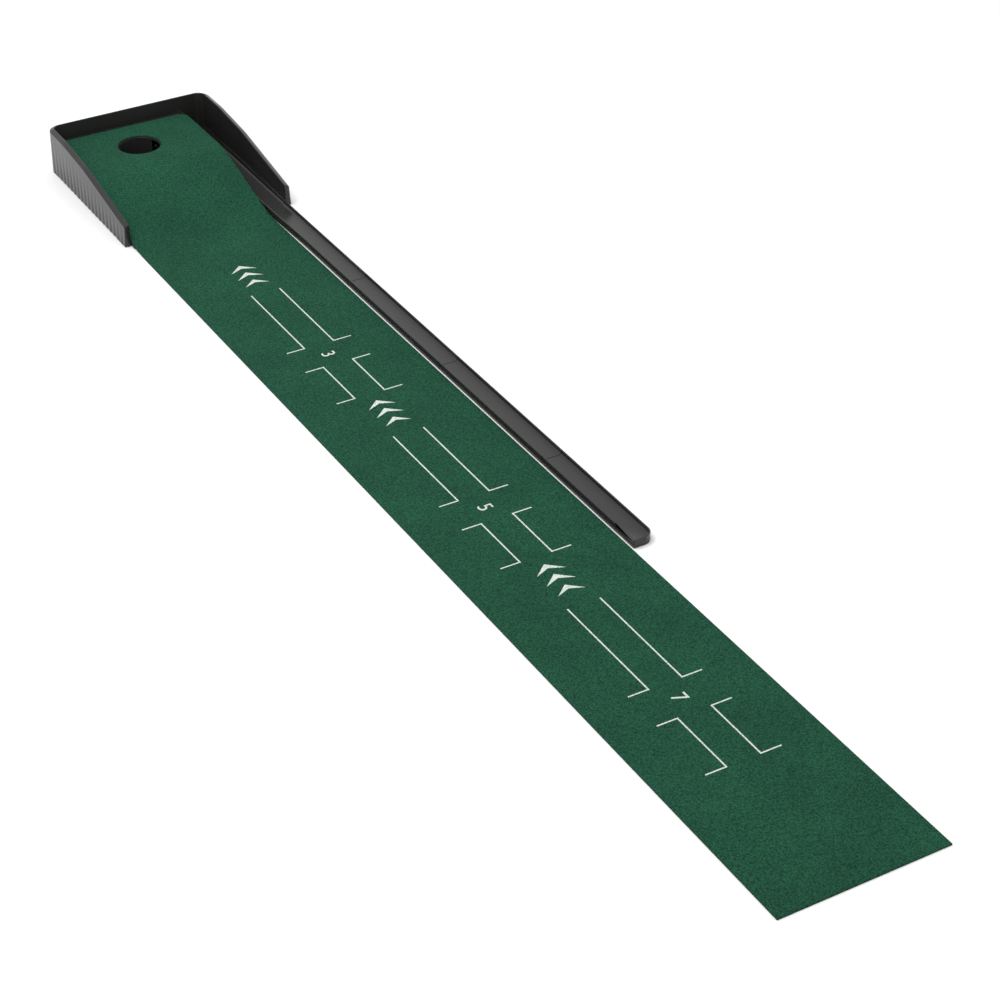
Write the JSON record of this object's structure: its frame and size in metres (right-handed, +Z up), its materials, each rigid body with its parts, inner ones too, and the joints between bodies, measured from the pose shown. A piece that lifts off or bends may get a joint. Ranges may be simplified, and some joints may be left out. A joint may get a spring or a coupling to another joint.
{
  "type": "practice putting mat",
  "caption": "Turf putting strip over a ramp housing with a cup, whose ball return chute feeds a side track of push-fit trough sections.",
  "frame": {"origin": "on the floor, under the turf strip's centre line at the middle (five foot) distance mark", "axes": "+Z up, +Y along the putting direction towards the cup, +X towards the return track"},
  "size_m": [0.3823, 2.7445, 0.101],
  "materials": {
    "turf": "short green felt pile",
    "backing": "matte foam backing",
    "hook_tape": "hook tape",
    "black_plastic": "semi-gloss moulded",
    "cup_plastic": "glossy moulded",
    "rubber": "matte",
    "screw_steel": "zinc plated"
  },
  "bodies": {
    "housing": {"surround_wall": "black_plastic", "ramp_deck": "black_plastic", "ball_cup": "cup_plastic", "cup_chute": "black_plastic", "side_channel": "black_plastic", "hook_strip_front": "hook_tape", "hook_strip_rear": "hook_tape", "deck_screw_1": "screw_steel", "deck_screw_2": "screw_steel", "deck_screw_3": "screw_steel", "deck_screw_4": "screw_steel", "channel_screw_1": "screw_steel", "channel_screw_2": "screw_steel", "chute_screw_1": "screw_steel", "chute_screw_2": "screw_steel", "chute_screw_3": "screw_steel", "chute_screw_4": "screw_steel", "foot_front_left": "rubber", "foot_front_right": "rubber", "foot_rear_left": "rubber", "foot_rear_right": "rubber"},
    "turf_strip": {"mat_turf": "turf", "mat_backing": "backing"},
    "section_1": {"track_section_1": "black_plastic"},
    "section_2": {"track_section_2": "black_plastic"},
    "section_3": {"track_section_3": "black_plastic"},
    "nose": {"track_nose": "black_plastic"}
  },
  "joints": [
    {"name": "mat_lift", "type": "slide", "parent": "housing", "child": "turf_strip", "axis": [0, 0, 1], "range_m": [0, 0.08]},
    {"name": "section_1_pull", "type": "slide", "parent": "housing", "child": "section_1", "axis": [0, -1, 0], "range_m": [0, 0.018]},
    {"name": "section_2_pull", "type": "slide", "parent": "section_1", "child": "section_2", "axis": [0, -1, 0], "range_m": [0, 0.018]},
    {"name": "section_3_pull", "type": "slide", "parent": "section_2", "child": "section_3", "axis": [0, -1, 0], "range_m": [0, 0.018]},
    {"name": "nose_pull", "type": "slide", "parent": "section_3", "child": "nose", "axis": [0, -1, 0], "range_m": [0, 0.018]}
  ]
}
